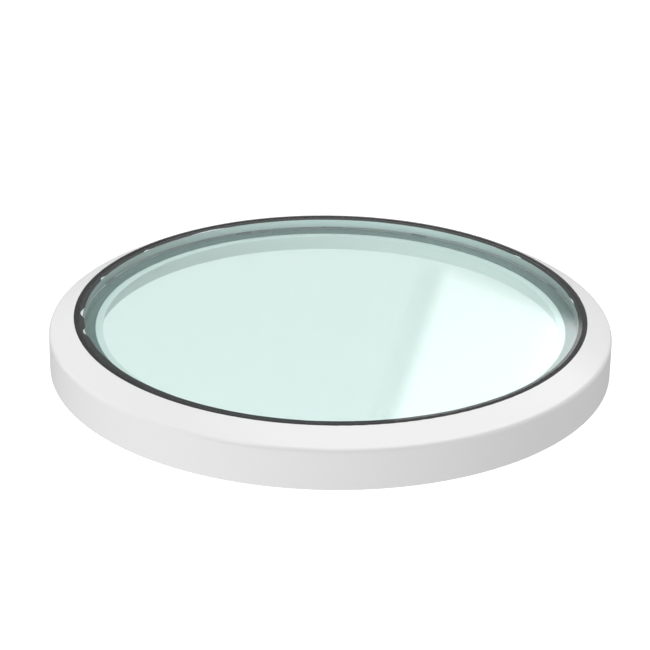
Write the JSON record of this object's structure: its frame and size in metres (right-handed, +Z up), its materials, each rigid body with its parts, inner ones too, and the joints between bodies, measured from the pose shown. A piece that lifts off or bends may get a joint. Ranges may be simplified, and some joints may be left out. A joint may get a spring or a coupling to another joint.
{
  "type": "flat roof skylight",
  "caption": "Round fixed flat-glass skylight: sealed glass unit in a white ring frame with a drip skirt that drops over a round roof kerb.",
  "frame": {"origin": "on the centre line, at the level of the skirt's drip edge", "axes": "+Z up along the centre line, out of the roof; the part is round, so +X and +Y point at two of the twelve hold-down clips"},
  "size_m": [1, 1, 0.094],
  "materials": {
    "white_coating": "white polyester powder coat on aluminium, fine and even, semi-gloss",
    "clear_glass": "clear float glass with the usual green tint, polished arris",
    "interlayer": "clear interlayer",
    "black_seal": "smooth black weather seal, low sheen",
    "black_butyl": "black sealant, matt",
    "black_tape": "black structural bonding, matt",
    "spacer_metal": "satin rolled bar",
    "desiccant": "drying beads",
    "packer_plastic": "hard moulded packers",
    "foam_cord": "closed-cell foam cord",
    "foam_core": "rigid foam",
    "isolator": "rigid extruded plastic, matt",
    "clip_steel": "spring steel strip, bright",
    "screw_steel": "stainless steel",
    "kerb_foam": "closed-cell foam strip, matt"
  },
  "bodies": {
    "root": {"outer_cover_ring": "white_coating", "cover_hook_ring": "white_coating", "inner_trim_ring": "white_coating", "base_frame": "white_coating", "frame_insulation": "foam_core", "isolator_ring": "isolator", "outer_pane": "clear_glass", "inner_pane_upper_ply": "clear_glass", "pvb_interlayer": "interlayer", "inner_pane_lower_ply": "clear_glass", "spacer_bar": "spacer_metal", "spacer_desiccant": "desiccant", "spacer_key": "clip_steel", "butyl_seal_upper": "black_butyl", "butyl_seal_lower": "black_butyl", "edge_seal": "black_butyl", "glazing_tape": "black_tape", "bonding_bead": "black_tape", "glazing_packers": "packer_plastic", "edge_packers": "packer_plastic", "backer_cord": "foam_cord", "weather_seal": "black_seal", "cover_clips": "clip_steel", "clip_screws": "screw_steel", "kerb_seal_inner": "kerb_foam", "kerb_seal_outer": "kerb_foam"}
  },
  "joints": []
}
